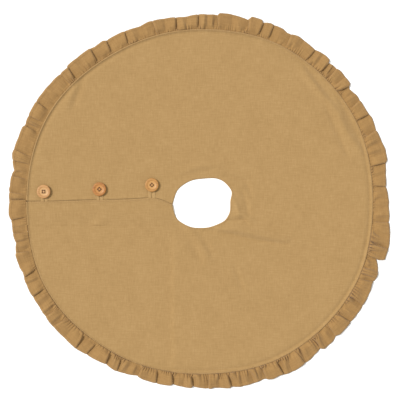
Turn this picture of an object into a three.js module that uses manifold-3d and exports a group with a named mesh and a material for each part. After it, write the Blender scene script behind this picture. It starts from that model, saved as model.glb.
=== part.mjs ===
import * as THREE from "three";
import { mergeVertices } from "three/addons/utils/BufferGeometryUtils.js";
import Module from "manifold-3d";

// Round tree skirt lying flat: origin at the bottom centre of its bounding box, +Z up.
// The slit runs along -X. The loop side is at -Y of the slit and laps over the button side at +Y.
// Millimetres.

// The whole skirt: mean radii of the ruffle's edge and of the seam it is gathered into
const SKIRT_RADIUS = 611;
const SEAM_RADIUS = 560;
const GAP = 0.3;

// The cut is a little out of round: how far it strays from its radius, every 30 degrees round from +X
const CUT_STRAY = [-5, 4, 4, -7, -9, 2, -3, 9, 0, -7, 5, 6];

// Cloth thicknesses
const LINING_THICKNESS = 0.7;
const FACE_THICKNESS = 1.0;
const RUFFLE_THICKNESS = 7.0;
const UNDERLAP_RUFFLE_THICKNESS = 2.0;

// Trunk hole: a hand-cut outline, about 190 wide and 160 deep, with a notch where the slit enters
const HOLE_OUTLINE = [
  [-89, -14],
  [-74, 33],
  [-48, 57],
  [-21, 69],
  [8, 73],
  [35, 75],
  [55, 73],
  [78, 62],
  [101, 33],
  [97, 3],
  [96, -28],
  [89, -47],
  [74, -64],
  [33, -81],
  [2, -84],
  [-26, -82],
  [-52, -71],
  [-73, -56],
  [-83, -35],
];
const HOLE_SIDES = 76;

// Slit and flap: the flap's edge wanders a little from rim to hole
const SLIT_EDGE = [
  [-553, 0.3],
  [-478, 0.3],
  [-356, 4.2],
  [-250, 6.1],
  [-192, 9.0],
  [-151, 12.5],
  [-118, 3.0],
  [-92, -9.5],
];
const UNDERLAP = 20;
const FOLD_Y = -75;
const FLAP_TILT = THREE.MathUtils.degToRad(2.8);
const FOLD_HEIGHT = 0.3;
const LINING_SETBACK = 1;

// Ruffle: gathered ring in pieced strips
const STRIP_COUNT = 4;
const SCALLOPS = 64;
const SCALLOP_DEPTH = 6;
const SCALLOP_STEPS = 4;
const RUFFLE_BEVEL = 1.6;
const OVERLAP_START_Y = 6;

// Buttons, from the rim to the hole: the first set in from the seam, the last from the hole,
// and the middle one near halfway
const FIRST_BUTTON_FROM_SEAM = 60;
const LAST_BUTTON_FROM_HOLE = 65;
const MIDDLE_BUTTON_SHIFT = 5;
const BUTTON_ROW_Y = [32, 39.5, 53];
const BUTTON_TURNS = [0, 45, 45];
const BUTTON_RADIUS = 21.8;
const BUTTON_THICKNESS = 5.4;
const BUTTON_EDGE_ROUND = 1.6;
const DISH_RADIUS = 12.8;
const DISH_DEPTH = 1.2;
const HOLE_SPACING = 8.4;
const THREAD_HOLE_RADIUS = 1.8;
const THREAD_RADIUS = 1.3;
const THREAD_STITCH_HEIGHT = 1.0;
const SHANK_RADIUS = 2.4;
const BUTTON_SIDES = 40;

// Loops: flat straps in a U round each shank
const LOOP_STRAP_WIDTH = 9;
const LOOP_THICKNESS = 1.4;
const LOOP_INSIDE_WIDTH = 2 * (SHANK_RADIUS + GAP) + 0.6;
const LOOP_SKEWS = [2, 1.5, -0.5];
const LOOP_ROOT_DEPTH = 10;

// Heights above the surface the skirt lies on
const FACE_BOTTOM = LINING_THICKNESS + GAP;
const FACE_TOP = FACE_BOTTOM + FACE_THICKNESS;
const LOOP_BOTTOM = FACE_TOP + GAP;
const LOOP_TOP = LOOP_BOTTOM + LOOP_THICKNESS;
const SHANK_BOTTOM = FACE_TOP + GAP;
const BUTTON_BOTTOM = LOOP_TOP + 2.5;
const SHANK_TOP = BUTTON_BOTTOM - GAP;

// Cutting blocks reach past the rim by this much
const REACH = SKIRT_RADIUS * 1.2;
const CUT_HEIGHT = 60;

// How far the tilted flap's thickest end leans back over the fold line
const FLAP_LEAN = RUFFLE_THICKNESS * Math.sin(FLAP_TILT);

const firstButtonX = FIRST_BUTTON_FROM_SEAM - SEAM_RADIUS;
const lastButtonX = HOLE_OUTLINE[0][0] - LAST_BUTTON_FROM_HOLE;
const middleButtonX = (firstButtonX + lastButtonX) / 2 + MIDDLE_BUTTON_SHIFT;
const buttonRowX = [firstButtonX, middleButtonX, lastButtonX];

const FACE_COLOUR = 0xc19e6a;
const LINING_COLOUR = 0xc9b48c;
const RUFFLE_COLOUR = 0xb48f5b;
const LOOP_COLOUR = 0xbd9a66;
const WOOD_COLOUR = 0xdba068;
const THREAD_COLOUR = 0x7a5229;

const wasm = await Module();
wasm.setup();

function solidOf(geometry) {
  const bare = geometry.index ? geometry.toNonIndexed() : geometry.clone();
  bare.deleteAttribute("normal");
  bare.deleteAttribute("uv");
  const merged = mergeVertices(bare, 1e-3);
  return new wasm.Manifold(
    new wasm.Mesh({
      numProp: 3,
      vertProperties: merged.attributes.position.array,
      triVerts: new Uint32Array(merged.index.array),
    }),
  );
}

function geometryOf(solid) {
  const mesh = solid.getMesh();
  const step = mesh.numProp;
  const points = new Float32Array(mesh.numVert * 3);
  for (let i = 0; i < mesh.numVert; i++) {
    points.set(mesh.vertProperties.subarray(i * step, i * step + 3), i * 3);
  }
  const geometry = new THREE.BufferGeometry();
  geometry.setAttribute("position", new THREE.BufferAttribute(points, 3));
  geometry.setIndex(new THREE.BufferAttribute(mesh.triVerts, 1));
  const flat = geometry.toNonIndexed();
  flat.computeVertexNormals();
  return flat;
}

function cloth(colour) {
  return new THREE.MeshStandardMaterial({ color: colour, roughness: 0.95, metalness: 0 });
}

function named(name, geometry, material) {
  const mesh = new THREE.Mesh(geometry, material);
  mesh.name = name;
  return mesh;
}

function plate(points, bottom, thickness) {
  const geometry = new THREE.ExtrudeGeometry(new THREE.Shape(points), {
    depth: thickness,
    bevelEnabled: false,
  });
  geometry.translate(0, 0, bottom);
  return solidOf(geometry);
}

function box(x0, x1, y0, y1, z0, z1) {
  const geometry = new THREE.BoxGeometry(x1 - x0, y1 - y0, z1 - z0);
  geometry.translate((x0 + x1) / 2, (y0 + y1) / 2, (z0 + z1) / 2);
  return solidOf(geometry);
}

function outOfRound(angle) {
  const place = THREE.MathUtils.euclideanModulo(angle / (2 * Math.PI), 1) * CUT_STRAY.length;
  const from = Math.floor(place) % CUT_STRAY.length;
  const next = (from + 1) % CUT_STRAY.length;
  return THREE.MathUtils.lerp(CUT_STRAY[from], CUT_STRAY[next], THREE.MathUtils.smoothstep(place % 1, 0, 1));
}

function outline(radius, sides) {
  return Array.from({ length: sides }, (_, i) => {
    const angle = (i / sides) * 2 * Math.PI;
    const reach = radius + outOfRound(angle);
    return new THREE.Vector2(reach * Math.cos(angle), reach * Math.sin(angle));
  });
}

// The trunk hole's outline, rounded between its points and sharp at the notch.
function holeOutline() {
  const corners = HOLE_OUTLINE.map(([x, y]) => new THREE.Vector2(x, y));
  const curve = new THREE.SplineCurve([...corners, corners[0]]);
  return curve.getPoints(HOLE_SIDES).slice(0, -1).reverse();
}

function slitEdgeAt(x) {
  const after = SLIT_EDGE.findIndex(([px]) => px >= x);
  if (after < 0) return SLIT_EDGE.at(-1)[1];
  if (after === 0) return SLIT_EDGE[0][1];
  const [x1, y1] = SLIT_EDGE[after];
  const [x0, y0] = SLIT_EDGE[after - 1];
  return y0 + ((x - x0) / (x1 - x0)) * (y1 - y0);
}

// Everything on the loop side of the slit edge, between the fold line and the edge.
function flapRegion(shift) {
  const corners = [[-REACH, slitEdgeAt(-REACH)], ...SLIT_EDGE, [0, slitEdgeAt(0)]];
  const points = corners.map(([x, y]) => new THREE.Vector2(x, y + shift));
  points.push(new THREE.Vector2(0, FOLD_Y + GAP / 2 + FLAP_LEAN));
  points.push(new THREE.Vector2(-REACH, FOLD_Y + GAP / 2 + FLAP_LEAN));
  points.reverse();
  return plate(points, -CUT_HEIGHT, 2 * CUT_HEIGHT);
}

// A block on the slit's side of the skirt, as tall as anything it cuts.
function slitBlock(x1, y0, y1) {
  return box(-REACH, x1, y0, y1, -CUT_HEIGHT, CUT_HEIGHT);
}

// What the rest of the skirt leaves open for the flap.
function flapRoom() {
  return slitBlock(0, FOLD_Y - GAP / 2, -UNDERLAP);
}

function panelDisc(bottom, thickness) {
  const disc = plate(outline(SEAM_RADIUS, 144), bottom, thickness);
  const hole = plate(holeOutline(), bottom - 1, thickness + 2);
  return disc.subtract(hole);
}

function scallopRadius(angle) {
  const wave = Math.sin(angle * SCALLOPS) + 0.5 * Math.sin(angle * 23 + 1.3);
  return SKIRT_RADIUS + outOfRound(angle) + (wave / 1.5) * (SCALLOP_DEPTH / 2) - RUFFLE_BEVEL;
}

// The gathered ring as one solid with its outer edge scalloped by the folds.
function ruffleRing(bottom, thickness, bevel) {
  const sides = SCALLOPS * SCALLOP_STEPS;
  const outer = Array.from({ length: sides }, (_, i) => {
    const angle = ((i + 0.5) / sides) * 2 * Math.PI;
    const radius = scallopRadius(angle);
    return new THREE.Vector2(radius * Math.cos(angle), radius * Math.sin(angle));
  });
  const shape = new THREE.Shape(outer);
  const inner = outline(SEAM_RADIUS + GAP + bevel, 144).reverse();
  shape.holes.push(new THREE.Path(inner));
  const geometry = new THREE.ExtrudeGeometry(shape, {
    depth: thickness - 2 * bevel,
    bevelEnabled: bevel > 0,
    bevelThickness: bevel,
    bevelSize: bevel,
    bevelSegments: 1,
  });
  geometry.translate(0, 0, bottom + bevel);
  return solidOf(geometry);
}

function wedge(from, to) {
  const reach = SKIRT_RADIUS * 1.6;
  const middle = (from + to) / 2;
  const points = [new THREE.Vector2(0, 0)];
  for (const angle of [from, (from + middle) / 2, middle, (middle + to) / 2, to]) {
    points.push(new THREE.Vector2(reach * Math.cos(angle), reach * Math.sin(angle)));
  }
  return plate(points, -CUT_HEIGHT, 2 * CUT_HEIGHT);
}

const skirt = new THREE.Group();
skirt.name = "tree_skirt";

// Face and lining panels, open where the flap lies
const facePanel = panelDisc(FACE_BOTTOM, FACE_THICKNESS).subtract(flapRoom());
const liningPanel = panelDisc(0, LINING_THICKNESS).subtract(flapRoom());
skirt.add(named("face_panel", geometryOf(facePanel), cloth(FACE_COLOUR)));
skirt.add(named("lining_panel", geometryOf(liningPanel), cloth(LINING_COLOUR)));

// The flap, built flat and tilted about the fold line so that it lies on the underlap
const flap = new THREE.Group();
flap.position.set(0, FOLD_Y, FOLD_HEIGHT);
flap.rotation.x = FLAP_TILT;
skirt.add(flap);

function onFlap(name, solid, colour) {
  const mesh = named(name, geometryOf(solid), cloth(colour));
  mesh.geometry.translate(0, -FOLD_Y, 0);
  flap.add(mesh);
}

const loopFeet = buttonRowX.map((x, i) => x + LOOP_SKEWS[i]);
const loopOutsideWidth = LOOP_INSIDE_WIDTH + 2 * LOOP_STRAP_WIDTH;

const flapFace = panelDisc(FACE_BOTTOM, FACE_THICKNESS).intersect(flapRegion(0));
onFlap("flap_face", flapFace, FACE_COLOUR);

let flapLining = panelDisc(0, LINING_THICKNESS).intersect(flapRegion(-LINING_SETBACK));
for (const x of loopFeet) {
  const edge = slitEdgeAt(x);
  const half = loopOutsideWidth / 2 + GAP;
  flapLining = flapLining.subtract(
    box(x - half, x + half, edge - LOOP_ROOT_DEPTH - 2, edge + 10, -CUT_HEIGHT, CUT_HEIGHT),
  );
}
onFlap("flap_lining", flapLining, LINING_COLOUR);

// Ruffle strips round the rim, from the button side's overlap round to the fold line
const startAngle = Math.PI - Math.asin(OVERLAP_START_Y / SKIRT_RADIUS);
const endAngle = Math.asin(-FOLD_Y / SKIRT_RADIUS) - Math.PI;
const ring = ruffleRing(0, RUFFLE_THICKNESS, RUFFLE_BEVEL);
const stripAngle = (startAngle - endAngle) / STRIP_COUNT;
const seamGap = GAP / SKIRT_RADIUS / 2;
for (let i = 0; i < STRIP_COUNT; i++) {
  const high = startAngle - i * stripAngle;
  const low = high - stripAngle;
  const from = i === STRIP_COUNT - 1 ? low - 0.05 : low + seamGap;
  const to = i === 0 ? high + 0.05 : high - seamGap;
  let strip = ring.intersect(wedge(from, to));
  if (i === 0) strip = strip.subtract(slitBlock(0, -REACH, OVERLAP_START_Y));
  if (i === STRIP_COUNT - 1) strip = strip.subtract(slitBlock(0, FOLD_Y - GAP / 2, REACH));
  skirt.add(named("ruffle_strip_" + (i + 1), geometryOf(strip), cloth(RUFFLE_COLOUR)));
}

// The button side's ruffle end, pressed thin under the flap
const underlapEnd = ruffleRing(0, UNDERLAP_RUFFLE_THICKNESS, 0).intersect(
  slitBlock(-SEAM_RADIUS / 2, -UNDERLAP, OVERLAP_START_Y - GAP),
);
skirt.add(named("ruffle_underlap_end", geometryOf(underlapEnd), cloth(RUFFLE_COLOUR)));

// The loop side's ruffle end, riding on the flap
const flapEnd = ruffleRing(0, RUFFLE_THICKNESS, RUFFLE_BEVEL)
  .intersect(flapRegion(0))
  .intersect(slitBlock(-SEAM_RADIUS / 2, -REACH, REACH));
onFlap("ruffle_flap_end", flapEnd, RUFFLE_COLOUR);

// Loops: a strap from the slit edge, round behind the shank, and back
function strapU(foot, edge, x, shankY) {
  const inner = LOOP_INSIDE_WIDTH / 2;
  const outer = loopOutsideWidth / 2;
  const shape = new THREE.Shape();
  shape.moveTo(foot - outer, edge);
  shape.lineTo(foot - inner, edge);
  shape.lineTo(x - inner, shankY);
  shape.absarc(x, shankY, inner, Math.PI, 0, true);
  shape.lineTo(foot + inner, edge);
  shape.lineTo(foot + outer, edge);
  shape.lineTo(x + outer, shankY);
  shape.absarc(x, shankY, outer, 0, Math.PI, false);
  shape.closePath();
  const geometry = new THREE.ExtrudeGeometry(shape, {
    depth: LOOP_THICKNESS,
    bevelEnabled: false,
    curveSegments: 14,
  });
  geometry.translate(0, 0, LOOP_BOTTOM);
  return geometry;
}

function buttonProfile() {
  const r = BUTTON_RADIUS;
  const t = BUTTON_THICKNESS;
  const e = BUTTON_EDGE_ROUND;
  return [
    new THREE.Vector2(0, 0),
    new THREE.Vector2(r - 1.6 * e, 0),
    new THREE.Vector2(r - 0.5 * e, 0.5 * e),
    new THREE.Vector2(r, 1.4 * e),
    new THREE.Vector2(r, t - 1.2 * e),
    new THREE.Vector2(r - 0.4 * e, t - 0.4 * e),
    new THREE.Vector2(r - 1.3 * e, t),
    new THREE.Vector2(DISH_RADIUS + 2.2, t),
    new THREE.Vector2(DISH_RADIUS, t - DISH_DEPTH * 0.4),
    new THREE.Vector2(DISH_RADIUS - 2.0, t - DISH_DEPTH),
    new THREE.Vector2(0, t - DISH_DEPTH),
  ];
}

function lathe(profile, sides) {
  const geometry = new THREE.LatheGeometry(profile, sides);
  geometry.rotateX(Math.PI / 2);
  return geometry;
}

function upright(radius, bottom, top, x, y, sides) {
  const geometry = new THREE.CylinderGeometry(radius, radius, top - bottom, sides);
  geometry.rotateX(Math.PI / 2);
  geometry.translate(x, y, (bottom + top) / 2);
  return geometry;
}

const holeCorners = [
  [-1, -1],
  [1, -1],
  [1, 1],
  [-1, 1],
].map(([a, b]) => [(a * HOLE_SPACING) / 2, (b * HOLE_SPACING) / 2]);
const dishFloor = BUTTON_THICKNESS - DISH_DEPTH;
const woodMaterial = { color: WOOD_COLOUR, roughness: 0.5, metalness: 0 };
const threadMaterial = { color: THREAD_COLOUR, roughness: 0.9, metalness: 0 };

function placed(solid, x, y, turn) {
  const geometry = geometryOf(solid);
  geometry.rotateZ(THREE.MathUtils.degToRad(turn));
  geometry.translate(x, y, BUTTON_BOTTOM);
  return geometry;
}

buttonRowX.forEach((x, i) => {
  const y = BUTTON_ROW_Y[i];
  const turn = BUTTON_TURNS[i];
  const number = i + 1;
  const foot = loopFeet[i];
  const edge = slitEdgeAt(foot);

  const root = box(
    foot - loopOutsideWidth / 2,
    foot + loopOutsideWidth / 2,
    edge - LOOP_ROOT_DEPTH,
    edge - GAP / 2,
    LOOP_BOTTOM,
    LOOP_TOP,
  );
  skirt.add(named("loop_root_" + number, geometryOf(root), cloth(LOOP_COLOUR)));
  const strap = strapU(foot, edge + GAP / 2, x, y);
  skirt.add(named("loop_" + number, strap, cloth(LOOP_COLOUR)));

  let button = solidOf(lathe(buttonProfile(), BUTTON_SIDES));
  for (const [hx, hy] of holeCorners) {
    const bore = upright(THREAD_HOLE_RADIUS, -2, BUTTON_THICKNESS + 2, hx, hy, 14);
    button = button.subtract(solidOf(bore));
  }
  const wood = new THREE.MeshStandardMaterial(woodMaterial);
  skirt.add(named("button_" + number, placed(button, x, y, turn), wood));

  const stitchBottom = dishFloor + GAP;
  const stitchTop = stitchBottom + THREAD_STITCH_HEIGHT;
  const reach = HOLE_SPACING / 2 + THREAD_RADIUS;
  const inside = HOLE_SPACING / 2 - THREAD_RADIUS;
  let thread = box(-reach, reach, -reach, reach, stitchBottom, stitchTop);
  thread = thread.subtract(box(-inside, inside, -inside, inside, 0, BUTTON_THICKNESS + 5));
  for (const [hx, hy] of holeCorners) {
    const leg = upright(THREAD_RADIUS, 0, stitchBottom + THREAD_STITCH_HEIGHT / 2, hx, hy, 10);
    thread = thread.add(solidOf(leg));
  }
  const brown = new THREE.MeshStandardMaterial(threadMaterial);
  skirt.add(named("button_thread_" + number, placed(thread, x, y, turn), brown));

  const shank = upright(SHANK_RADIUS, SHANK_BOTTOM, SHANK_TOP, x, y, 20);
  const brownShank = new THREE.MeshStandardMaterial(threadMaterial);
  skirt.add(named("button_shank_" + number, shank, brownShank));
});

export default skirt;
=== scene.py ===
"""Round tree skirt lying flat: a lined panel with a trunk hole and a lapped slit, a gathered ruffle round it,
and three turned wooden buttons with cloth loops. Sizes in the code are millimetres and become metres in a mesh."""

import math

import bpy
import numpy as np
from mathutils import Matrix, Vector
from mathutils.bvhtree import BVHTree


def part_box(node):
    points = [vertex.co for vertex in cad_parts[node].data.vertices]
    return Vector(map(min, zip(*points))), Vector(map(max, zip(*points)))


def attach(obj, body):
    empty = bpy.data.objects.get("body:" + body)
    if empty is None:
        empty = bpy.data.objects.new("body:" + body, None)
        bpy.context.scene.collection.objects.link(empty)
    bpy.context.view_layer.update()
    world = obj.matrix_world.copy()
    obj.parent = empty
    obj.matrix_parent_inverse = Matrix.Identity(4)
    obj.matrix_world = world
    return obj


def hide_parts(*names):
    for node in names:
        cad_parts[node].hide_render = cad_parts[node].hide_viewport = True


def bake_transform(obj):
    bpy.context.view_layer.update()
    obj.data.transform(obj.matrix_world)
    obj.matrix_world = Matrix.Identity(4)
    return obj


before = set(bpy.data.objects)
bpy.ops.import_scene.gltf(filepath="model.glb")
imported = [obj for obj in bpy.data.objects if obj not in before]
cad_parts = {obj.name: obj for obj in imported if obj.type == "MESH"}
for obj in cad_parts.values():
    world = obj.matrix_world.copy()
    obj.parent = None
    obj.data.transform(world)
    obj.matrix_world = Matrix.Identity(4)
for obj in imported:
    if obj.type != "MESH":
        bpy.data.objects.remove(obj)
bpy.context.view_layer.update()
MM = 0.001

# -------- sizes

HOLE_CENTRE = (5.0, -5.0)
PANEL_COLUMNS = 600
MIDDLE_ROWS = 66
HEM_STEPS = np.array([0, 0.7, 1.6, 2.8, 4.4, 6.4, 9, 12.5, 17])  # from the hole's edge
SEAM_STEPS = np.array([0, 0.7, 1.6, 2.8, 4.2, 6, 8.5, 12, 16, 21, 27])  # from the seam
FLAP_COLUMNS = 46
LINING_TOP = 0.7
FACE_UNDER = 1.0
FACE_TOP = 2.0
LOFT = 2.6  # how much higher the two layers lie away from the buttoned slit
FLAP_RISE = 3.2  # the flap rides up this much over the underlap
CLOTH = 0.8  # the ruffle's thickness
HEM_FOLD = 0.7  # how much its turned hem adds
RIDGE_HEIGHT, RIDGE_IN, RIDGE_WIDTH = 2.6, 3.4, 2.7  # the face's ridge just inside the seam
VALLEY_IN, VALLEY_WIDTH = 11.5, 4.8  # the valley inside the ridge
VALLEY_DEPTH, VALLEY_DEEPER = 0.5, 2.0  # beside the slit, and how much deeper away from it
PUCKERS = 120
NO_SLIT = 99  # a distance for points that the slit's edge has nothing to do with

CREASE_HEIGHT, CREASE_WIDTH = 2.3, 0.75  # what the heights and half widths below are multiplied by
# Creases in the face: height, half width, and the line each one follows
CREASES = [
    (-2.0, 6, [(16, -92), (103, -105), (176, -124), (279, -137)]),
    (3.0, 14, [(60, -88), (120, -88), (190, -105), (275, -121)]),
    (-1.9, 6, [(82, -62), (141, -56), (150, -68)]),
    (1.2, 12, [(98, -42), (140, -42), (168, -62)]),
    (-1.8, 13, [(-82, -64), (-34, -117), (2, -190)]),
    (1.5, 15, [(-48, -80), (-2, -125), (30, -185)]),
    (-1.0, 12, [(-10, -95), (22, -140), (40, -170)]),
    (-0.9, 12, [(112, -210), (138, -283)]),
    (-1.7, 8, [(-52, 80), (0, 97), (44, 102)]),
    (1.2, 14, [(-66, 96), (0, 114), (62, 114)]),
    (-1.5, 9, [(80, 84), (148, 64), (164, 18)]),
    (1.7, 12, [(106, 12), (122, -28), (124, -48)]),
    (-1.5, 10, [(136, 34), (150, -10), (153, -38)]),
    (-1.2, 16, [(-340, -45), (-443, -149), (-478, -240)]),
    (1.2, 22, [(-310, -60), (-408, -150), (-448, -240)]),
    (-1.2, 14, [(-209, -70), (-240, -150), (-250, -219)]),
    (-1.5, 14, [(-405, -226), (-398, -330), (-362, -418)]),
    (1.4, 18, [(-436, -240), (-428, -320), (-392, -396)]),
    (2.3, 11, [(326, 424), (395, 335), (424, 296)]),
    (-1.8, 9, [(345, 425), (414, 345), (442, 298)]),
    (2.3, 12, [(423, 326), (467, 223), (513, 160)]),
    (-2.0, 10, [(400, 320), (443, 215), (474, 150)]),
    (-1.6, 10, [(450, 330), (492, 235), (528, 180)]),
    (-1.6, 12, [(-372, 396), (-404, 306)]),
    (1.3, 14, [(-394, 388), (-430, 296)]),
]

# The ruffle's larger folds: angle in degrees, and how far the fold laps (minus where the clockwise side
# lies on top)
FOLDS = [
    (185.3, -6), (190, 4), (196, 10), (202.8, -13), (209.5, -9), (216.7, 7), (220.7, 14), (229.6, -14),
    (234, -4), (239.5, -10), (243.5, -6), (250.5, 9), (256, -4), (261.2, -11), (267.4, -14), (272.5, 9),
    (279.5, -12), (290, 14), (295.8, -8), (303.2, -9), (309.8, 14), (315.8, 8), (321.3, -14), (328, 4),
    (334.5, -10), (341.8, 16), (346.3, -7), (353.5, -4), (365, 5), (371.3, 7), (381.5, -7), (387, 8),
    (392, -8), (398, 15), (404, -7), (406.6, 12), (412.7, 5), (421.3, -9), (427, 5), (430.4, 9),
    (434.6, -13), (444.3, -12), (450.5, 4), (457.5, 10), (464.8, -12), (474.5, 4), (480.3, 10), (486, 9),
    (495.3, 10), (498, -6), (508.6, 11), (513.5, -5), (516.5, 8), (525.2, 4), (528, -8), (532.3, 9),
    (537.5, 4),
]  # fmt: skip

# The ruffle's cut edge: how far it reaches past the seam, at each angle where it turns or steps
HEM = [
    (179, 53), (184, 55), (186.5, 47), (190, 48), (193, 42), (196.5, 51), (200, 49), (201.5, 43), (204, 47),
    (208, 48), (212, 46), (217, 49), (220.5, 52), (221, 50), (229, 53), (229.6, 55), (232, 51), (236, 47),
    (239.5, 42), (243, 46), (248, 40), (250, 35), (252, 40), (257, 43), (260.5, 42), (261.5, 37), (265, 43),
    (267, 44), (267.5, 39), (270, 43), (273, 47), (274, 43), (279, 49), (279.8, 46), (282, 49), (287, 46),
    (289.5, 42), (290.3, 47), (292, 51), (294.5, 48), (296.5, 52), (300, 56), (305, 51), (309.5, 42),
    (310.8, 52), (314, 52), (316, 47), (317, 52), (327, 53), (332, 51), (334, 45), (335.5, 50), (337, 51),
    (339, 44), (341.4, 31), (342.4, 58), (345.5, 60), (346.5, 63), (350, 60), (353, 54), (357, 50),
    (360, 49), (365, 42), (368, 44), (370.5, 48), (372, 55), (375.5, 57), (380, 49), (382, 46), (385.5, 49),
    (388, 43), (394, 42), (397, 34), (398.5, 48), (403, 50), (406.5, 42), (407, 51), (409, 53), (413, 46),
    (419.5, 52), (422.5, 44), (424, 50), (428, 52), (430.5, 47), (431, 54), (434.2, 56), (434.8, 44),
    (440, 53), (443.7, 52), (444.3, 46), (450, 47), (455, 40), (458, 43), (466.5, 47), (469, 41), (475, 46),
    (480, 46), (481, 50), (484, 47), (486, 52), (494.5, 52), (495.5, 47), (500, 50), (507.5, 53), (514, 53),
    (516, 50), (517, 55), (523, 58), (526.5, 61), (528, 57), (530.5, 44), (532, 52), (535.5, 53), (536, 55),
    (542, 53),
]  # fmt: skip
# Dents where the ruffle is crumpled or pinched: angle in degrees, share of the way out, depth, size
DENTS = [
    (335.3, 0.5, 3.5, 5), (336.4, 0.3, 4.5, 4), (337.6, 0.62, -3, 6), (338.2, 0.22, 4.5, 4), (339.2, 0.45, 4, 4),
    (340, 0.2, -3, 5), (340.8, 0.4, 4.5, 5), (341.4, 0.15, 4, 4), (321.3, 0.22, 4, 6), (309, 0.18, 4, 5),
    (304, 0.16, 3.5, 4), (296.6, 0.2, 4, 5), (276.6, 0.3, 3, 5), (274, 0.15, 4, 5), (251.5, 0.25, 3.5, 5),
    (240, 0.2, 4.5, 6), (231, 0.3, 4, 7), (215.5, 0.14, 4, 4), (202.8, 0.18, 4.5, 5), (195.3, 0.12, 4.5, 5),
    (396.4, 0.2, 4.5, 8), (398.2, 0.15, 4, 4), (405.8, 0.15, 3.5, 4), (412.8, 0.2, 4.5, 5), (419.6, 0.3, 3.5, 5),
    (426.8, 0.2, 4, 4), (435.5, 0.2, 4, 5), (445.3, 0.35, 4.5, 8), (457.7, 0.3, 4, 5), (464.7, 0.2, 4, 5),
    (480.2, 0.35, 3.5, 6), (485, 0.15, 4, 4), (496.3, 0.2, 4, 5), (498.2, 0.3, 3.5, 4), (509.3, 0.25, 4, 5),
    (517, 0.2, 3.5, 5), (530.8, 0.62, 4.5, 5), (532, 0.3, 4, 5), (364.8, 0.15, 4, 5), (386.9, 0.15, 3.5, 4),
]  # fmt: skip
DEGREE = 10.5  # one degree along the ruffle
RUFFLE_FROM, RUFFLE_TO = 179.5, 542.0
RUFFLE_ROWS = np.array(
    [0, 0.02, 0.05, 0.09, 0.14, 0.2, 0.28, 0.37, 0.46, 0.56, 0.66, 0.76, 0.83, 0.86, 0.91, 0.95, 0.98, 1]
)  # fmt: skip
HEM_ROW = 13  # where the hem is stitched
GATHER = 16.0  # cloth in one small gather at the seam
GATHER_HEIGHT = 7.0
RUFFLE_TOP = 15.5  # no fold stands higher than this

LOOP_STRAP = 9.0
LOOP_SKEWS = [2, 1.5, -0.5]
LOOP_GAPS = [1.4, 1.1, 1.7]  # half the gap between a loop's legs where they leave the flap
LOOP_CROWN = 1.05  # how high the strap stands, in half thicknesses
BUTTON_TURNS = [0, 45, 45]
HOLE_SPACING = 8.4
RIM_ROUNDING, DISH_RADIUS, DISH_DEPTH = 2.0, 12.8, 1.2

# -------- helpers


def smooth(t):
    t = np.clip(t, 0, 1)
    return t * t * (3 - 2 * t)


def soften(values, spread):
    """Averages a long list of values with their neighbours, in a bell curve this many steps wide."""
    reach = int(math.ceil(3 * spread))
    bell = np.exp(-0.5 * (np.arange(-reach, reach + 1) / spread) ** 2)
    start = values[0] - (values[1 : reach + 1][::-1] - values[0])
    end = values[-1] - (values[-reach - 1 : -1][::-1] - values[-1])
    return np.convolve(np.concatenate([start, values, end]), bell / bell.sum(), "valid")


def wander(rng, count, spread):
    """A slow random swing about zero, one step high on average."""
    swing = soften(rng.normal(0, 1, count + 400), spread)[200:-200]
    return swing / swing.std()


def walls(*nodes):
    """The surfaces of CAD nodes as one tree to cast rays at, in millimetres."""
    points, faces = [], []
    for name in nodes:
        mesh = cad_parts[name].data
        start = len(points)
        points += [v.co / MM for v in mesh.vertices]
        faces += [[start + i for i in p.vertices] for p in mesh.polygons]
    return BVHTree.FromPolygons(points, faces)


def first_wall(tree, start, way):
    """How far the nearest CAD wall is from a point, going level, looked for at a few heights."""
    level = Vector((way[0], way[1], 0))
    hits = [tree.ray_cast(Vector((*start, z)), level)[3] for z in (1.5, 2.5, 3.5, 4.5, 5.5)]
    found = [h for h in hits if h is not None]
    return min(found) if found else None


def new_object(name, mesh, material):
    thing = bpy.data.objects.new(name, mesh)
    bpy.context.scene.collection.objects.link(thing)
    if material:
        mesh.materials.append(material)
    return thing


def new_mesh(name, points, edges, faces):
    """A smooth-shaded mesh; the points are in metres."""
    mesh = bpy.data.meshes.new(name)
    mesh.from_pydata(points, edges, faces)
    mesh.polygons.foreach_set("use_smooth", np.ones(len(mesh.polygons), bool))
    return mesh


def shell(name, top, under, flat, material, crisp=False):
    """A closed sheet from two grids of points, rows by columns. flat holds each point's place in the uncut cloth,
    and crisp keeps the sheet's edges sharp."""
    across = np.cross(top[:-1, 1:] - top[:-1, :-1], top[1:, :-1] - top[:-1, :-1])
    if across[..., 2].mean() < 0:
        top, under, flat = top[:, ::-1], under[:, ::-1], flat[:, ::-1]
    rows, columns = top.shape[:2]
    count = rows * columns
    grid = np.arange(count).reshape(rows, columns)
    front = np.stack([grid[:-1, :-1], grid[:-1, 1:], grid[1:, 1:], grid[1:, :-1]], -1).reshape(-1, 4)
    edge = np.concatenate([grid[0], grid[1:, -1], grid[-1, -2::-1], grid[-2:0:-1, 0]])
    after = np.roll(edge, -1)
    wall = np.stack([after, edge, edge + count, after + count], -1)
    faces = np.concatenate([front, front[:, ::-1] + count, wall])
    points = np.concatenate([top.reshape(-1, 3), under.reshape(-1, 3)]) * MM
    mesh = new_mesh(name, points.tolist(), [], faces.tolist())
    corners = np.zeros(len(mesh.loops), np.int32)
    mesh.loops.foreach_get("vertex_index", corners)
    cut = np.concatenate([flat.reshape(-1, 2)] * 2)[corners] * MM
    mesh.uv_layers.new(name="cloth").data.foreach_set("uv", cut.astype(np.float32).ravel())
    if crisp:
        ends = np.zeros(len(mesh.edges) * 2, np.int32)
        mesh.edges.foreach_get("vertices", ends)
        on_edge = np.zeros(2 * count, bool)
        on_edge[edge] = on_edge[edge + count] = True
        sharp = on_edge[ends].reshape(-1, 2).all(1)
        mesh.attributes.new("sharp_edge", "BOOLEAN", "EDGE").data.foreach_set("value", sharp)
    mesh.update()
    return new_object(name, mesh, material)


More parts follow.
